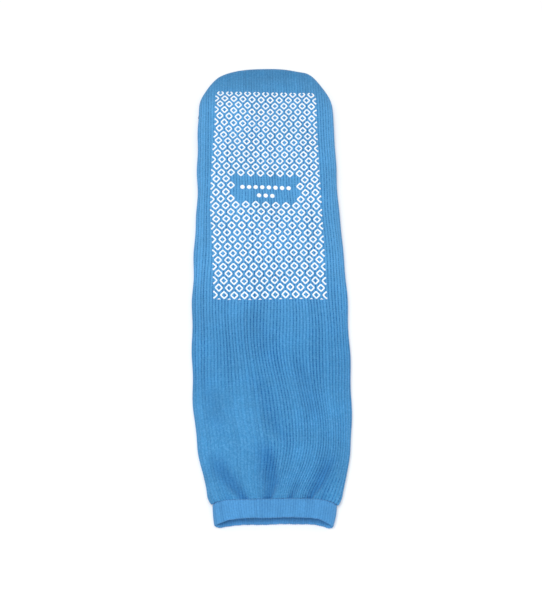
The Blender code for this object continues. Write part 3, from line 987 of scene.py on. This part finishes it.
def make_knit(name, crest, foot_crest, recess, courses, leg_groove, foot_groove, pale_tips, bump_depth):
    """Crest colour and the recess's painted shade mixed by groove and stitch, then varied by wale, yarn and
    patch.
    """
    material, tree, shader = new_material(name)
    length, beside, stitch, wale, in_ribs = knit_pattern(tree, courses)
    place = add(tree, "TexCoord").outputs["Object"]
    fuzz = add(tree, "TexNoise", {"Vector": place, "Scale": TUFTS, "Detail": 4.0, "Roughness": 0.75})
    broken = add(tree, "TexNoise", {"Vector": in_ribs, "Scale": 1.0, "Detail": 3.0, "Roughness": 0.65})
    patches = add(tree, "TexNoise", {"Vector": place, "Scale": PATCHES, "Detail": 4.0, "Roughness": 0.6})
    by_wale = add(tree, "TexWhiteNoise", {"W": wale}, noise_dimensions="1D")

    # The recess: painted shade, dark towards its bottom, crossed by stitches and broken up.
    groove = add(tree, "Math", {0: beside, 1: 3.4}, operation="POWER")
    crossing = add(tree, "Math", {0: stitch, 1: 0.30, 2: 0.70}, operation="MULTIPLY_ADD")
    speckle = add(tree, "Math", {0: groove, 1: crossing}, operation="MULTIPLY")
    uneven = add(tree, "MapRange", {"Value": broken, 1: 0.35, 2: 0.65, 3: 0.2, 4: 1.65})
    dark = add(tree, "Math", {0: speckle, 1: uneven}, operation="MULTIPLY")

    # How much of it shows: less on the foot and at the toe, less in felt, and not the same on every rib.
    strength = add(tree, "MapRange", {"Value": length, 1: FOOT_FROM, 2: 0.56, 3: leg_groove, 4: foot_groove})
    closing = add(tree, "MapRange", {"Value": length, 1: TOE_FROM, 2: 0.96, 3: 1.0, 4: 0.35})
    strength = add(tree, "Math", {0: strength, 1: closing}, operation="MULTIPLY")
    by_rib = add(tree, "MapRange", {"Value": by_wale, 3: 1.5, 4: 0.5})
    felt = add(tree, "Attribute", attribute_name="matted").outputs["Fac"]
    clear = add(tree, "MapRange", {"Value": felt, 3: 1.3, 4: 0.35})
    open_ribs = add(tree, "Math", {0: by_rib, 1: clear}, operation="MULTIPLY")
    seen = add(tree, "Math", {0: strength, 1: open_ribs}, operation="MULTIPLY")
    shade = add(tree, "Math", {0: dark, 1: seen}, operation="MULTIPLY", use_clamp=True)

    # The colour: paler on the foot, with pale tips, and the painted shade colour in the recesses and in the
    # gathers' troughs.
    on_foot = add(tree, "MapRange", {"Value": length, 1: FOOT_FROM, 2: 0.52})
    off_toe = add(tree, "MapRange", {"Value": length, 1: TOE_FROM, 2: 0.97, 3: 1.0, 4: 0.0})
    pale = add(tree, "Math", {0: on_foot, 1: off_toe}, operation="MULTIPLY")
    high = add(tree, "Mix", {0: pale, 6: linear(crest), 7: linear(foot_crest)}, data_type="RGBA")
    tips = add(tree, "MapRange", {"Value": fuzz, 1: 0.45, 2: 0.75, 3: 0.0, 4: pale_tips})
    tipped = add(tree, "Mix", {0: tips, 6: high, 7: linear("#86BDE6")}, data_type="RGBA")
    # Painted shade in the gathers' troughs, added to the painted shade of the recesses.
    painted_trough_shade = add(tree, "Attribute", attribute_name="painted_trough_shade").outputs["Fac"]
    closed = add(tree, "Math", {0: painted_trough_shade, 1: 0.42, 2: shade}, operation="MULTIPLY_ADD")
    colour = add(tree, "Mix", {0: closed, 6: tipped, 7: linear(recess)}, data_type="RGBA")

    # Its brightness: varied by yarn, patch, clump and rib, and a little less at the toe, which is painted
    # shade.
    yarn = add(tree, "MapRange", {"Value": fuzz, 1: 0.3, 2: 0.7, 3: 0.84, 4: 1.08})
    cloth = add(tree, "MapRange", {"Value": patches, 1: 0.3, 2: 0.7, 3: 0.90, 4: 1.08})
    clumps = add(tree, "MapRange", {"Value": broken, 1: 0.3, 2: 0.7, 3: 0.95, 4: 1.04})
    rib = add(tree, "MapRange", {"Value": by_wale, 3: 0.95, 4: 1.04})
    # Painted shade at the toe, where it closes and slopes down.
    toe = add(tree, "MapRange", {"Value": length, 1: TOE_FROM, 2: 0.98, 3: 1.0, 4: 0.90})
    value = add(tree, "Math", {0: cloth, 1: clumps}, operation="MULTIPLY")
    for share in (yarn, rib, toe):
        value = add(tree, "Math", {0: share, 1: value}, operation="MULTIPLY")
    varied = add(tree, "HueSaturation", {"Value": value, "Color": colour})

    # The surface: rough fur, with a bump of tufts and loops that sinks into the recess.
    rough = add(tree, "MapRange", {"Value": fuzz, 1: 0.3, 2: 0.7, 3: 0.82, 4: 0.98})
    loops = add(tree, "Math", {0: stitch, 1: 0.25}, operation="MULTIPLY")
    fur = add(tree, "Math", {0: fuzz, 1: 1.2, 2: loops}, operation="MULTIPLY_ADD")
    relief = add(tree, "Math", {0: dark, 1: -0.6, 2: fur}, operation="MULTIPLY_ADD")
    bump = add(tree, "Bump", {"Strength": 0.8, "Distance": bump_depth, "Height": relief})
    fill(tree, shader, {"Base Color": varied, "Roughness": rough, "Normal": bump, "Specular IOR Level": 0.2})
    fill(tree, shader, {"Sheen Weight": 0.2, "Sheen Roughness": 0.5, "Sheen Tint": linear("#CFE6F7")})
    return material


# %% Terry knit material
# The recess colour is painted shade between the ribs.
terry_knit = make_knit(
    "brushed terry knit", crest="#408CC3", foot_crest="#519CD3", recess="#0E5A9C", courses=COURSES,
    leg_groove=1.0, foot_groove=0.8, pale_tips=0.32, bump_depth=0.0004,
)
knit_tube.data.materials.append(terry_knit)
print("nodes in the terry:", len(terry_knit.node_tree.nodes))

# %% [markdown]
# ## Elastic rib
# The welt is knitted of the same yarn with an elastic thread laid in, which closes its stitches up. It is
# finer, smoother and a little paler than the terry, with less fur, so the same tree serves with shallower
# grooves.

# %% Elastic rib material
# The recess colour is painted shade between the ribs.
elastic_rib = make_knit(
    "elastic rib", crest="#4E93CC", foot_crest="#4E93CC", recess="#2A6FB0", courses=WELT_COURSES,
    leg_groove=0.6, foot_groove=0.6, pale_tips=0.08, bump_depth=0.0002,
)
welt.data.materials.append(elastic_rib)
print("nodes in the elastic rib:", len(elastic_rib.node_tree.nodes))

# %% [markdown]
# ## Linking thread and silicone
# The linking thread is a plain dyed polyester, a shade deeper than the cloth, twisted, with a slight gloss.
# The marks are white silicone: smooth and rubbery, with a soft highlight, a fine pebble where the paste met
# the weave, and a faint blue tint that varies in patches.

# %% Thread and silicone materials
PEBBLE = 1900.0  # to the metre: about half a millimetre across
SILICONE_IOR = 1.41


def make_thread():
    """A twisted thread: a sine along and round the cord lowers the gaps between its plies and paints them
    darker as shade.
    """
    material, tree, shader = new_material("linking thread")
    uv = add(tree, "UVMap", uv_map="wales")
    round_cord, along_cord = add(tree, "SeparateXYZ", {0: uv}).outputs[:2]
    along = add(tree, "Math", {0: along_cord, 1: CORD_UNIT / STITCH}, operation="MULTIPLY")
    around = add(tree, "Math", {0: round_cord, 1: 0.7, 2: along}, operation="MULTIPLY_ADD")
    turn = add(tree, "Math", {0: around, 1: 6.0 * math.pi}, operation="MULTIPLY")
    ply = add(tree, "Math", {0: turn}, operation="SINE")
    mix = add(tree, "MapRange", {"Value": ply, 1: -1.0, 2: 1.0})
    # Painted shade: the darker colour lies in the gaps between the plies.
    colour = add(tree, "Mix", {0: mix, 6: linear("#3A78AE"), 7: linear("#5296CC")}, data_type="RGBA")
    bump = add(tree, "Bump", {"Strength": 0.6, "Distance": 0.0002, "Height": mix})
    fill(tree, shader, {"Base Color": colour, "Roughness": 0.7, "Normal": bump})
    return material


def make_silicone():
    """White rubber whose gloss and height vary with a fine noise, and its tint with a coarser one."""
    material, tree, shader = new_material("white silicone print")
    place = add(tree, "TexCoord").outputs["Object"]
    pebble = add(tree, "TexNoise", {"Vector": place, "Scale": PEBBLE, "Detail": 2.0, "Roughness": 0.6})
    patches = add(tree, "TexNoise", {"Vector": place, "Scale": 160.0, "Detail": 2.0})
    tint = add(tree, "MapRange", {"Value": patches, 1: 0.35, 2: 0.65})
    colour = add(tree, "Mix", {0: tint, 6: linear("#EAF3FA"), 7: linear("#FCFDFE")}, data_type="RGBA")
    rough = add(tree, "MapRange", {"Value": pebble, 1: 0.3, 2: 0.7, 3: 0.40, 4: 0.60})
    bump = add(tree, "Bump", {"Strength": 0.4, "Distance": 0.0001, "Height": pebble})
    fill(tree, shader, {"Base Color": colour, "Roughness": rough, "Normal": bump, "IOR": SILICONE_IOR})
    return material


toe_seam.data.materials.append(make_thread())
silicone = make_silicone()
for marks in (top_marks, sole_marks):
    marks.data.materials.append(silicone)
print("materials:", sorted(material.name for material in bpy.data.materials))

# %% [markdown]
# ## Floor, light and camera
# The sock is shown as in a catalogue: on a plain pale floor, under a broad soft lamp high above the leg,
# with a white surround that fills the shadows. The camera looks down at 64 degrees from the mouth's end,
# turned a degree to the right, so the toe leans a little to the left.

# %% Floor
FLOOR_HALF = 4.0
FLOOR_DROP = 0.0003  # a hair under the sock, so that the two surfaces don't meet


def make_floor():
    """A level square far larger than the view."""
    corners = ((-1, -1), (1, -1), (1, 1), (-1, 1))
    mesh = bpy.data.meshes.new("floor")
    mesh.from_pydata([(FLOOR_HALF * x, FLOOR_HALF * y, -FLOOR_DROP) for x, y in corners], [], [(0, 1, 2, 3)])
    floor = bpy.data.objects.new("floor", mesh)
    bpy.context.scene.collection.objects.link(floor)
    material, tree, shader = new_material("pale paper floor")
    fill(tree, shader, {"Base Color": linear("#F7F7F7"), "Roughness": 0.95})
    mesh.materials.append(material)
    return floor


make_floor()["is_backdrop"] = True
print("the floor is", 2 * FLOOR_HALF, "m wide")

# %% Light
SURROUND = 0.70

world = bpy.data.worlds.new("white studio")
bpy.context.scene.world = world
world.use_nodes = True
background = world.node_tree.nodes["Background"]
fill(world.node_tree, background, {"Color": linear("#FFFFFF"), "Strength": SURROUND})


def add_lamp(name, place, size, power):
    """A square area light at a place, turned to the middle of the sock."""
    light = bpy.data.lights.new(name, "AREA")
    light.size = size
    light.energy = power
    lamp = bpy.data.objects.new(name, light)
    lamp.location = place
    lamp.rotation_euler = (-Vector(place)).to_track_quat("-Z", "Y").to_euler()
    bpy.context.scene.collection.objects.link(lamp)


add_lamp("key", place=(-0.10, -0.30, 1.3), size=0.6, power=10.2)
bpy.context.scene.view_settings.view_transform = "Standard"

# %% Camera
ELEVATION = math.radians(64.0)
AZIMUTH = math.radians(1.2)
TARGET = Vector((0.00098, -0.0232, 0.0))
DISTANCE = 0.8023
SENSOR = 36.0
PHOTO_HEIGHT = 605.0  # pixels, the photo's longer side, which the sensor's width covers
FOCAL_LENGTH = 1000.0  # in the photo's pixels

lens = bpy.data.cameras.new("camera")
lens.sensor_width = SENSOR
lens.lens = SENSOR * FOCAL_LENGTH / PHOTO_HEIGHT
camera = bpy.data.objects.new("camera", lens)
back = Vector((
    -math.sin(AZIMUTH) * math.cos(ELEVATION),
    -math.cos(AZIMUTH) * math.cos(ELEVATION),
    math.sin(ELEVATION),
))
camera.location = TARGET + back * DISTANCE
camera.rotation_euler = (-back).to_track_quat("-Z", "Y").to_euler()
bpy.context.scene.collection.objects.link(camera)
bpy.context.scene.camera = camera
print("camera at", [round(value, 3) for value in camera.location])

# %% [markdown]
# ## Sizes
# Both boxes are printed: the imported sock's, and the dressed one's, which may be larger by what cloth
# stands proud. The dressed sock must stay as large as the imported one, give or take what cloth may stand
# proud.

# %% Sizes
dressed_box = [list(corner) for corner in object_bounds()]
for title, (low, high) in (("packed", cad_box), ("dressed", dressed_box)):
    print(title, "size in mm:", [round(1000 * (b - a), 1) for a, b in zip(low, high)])
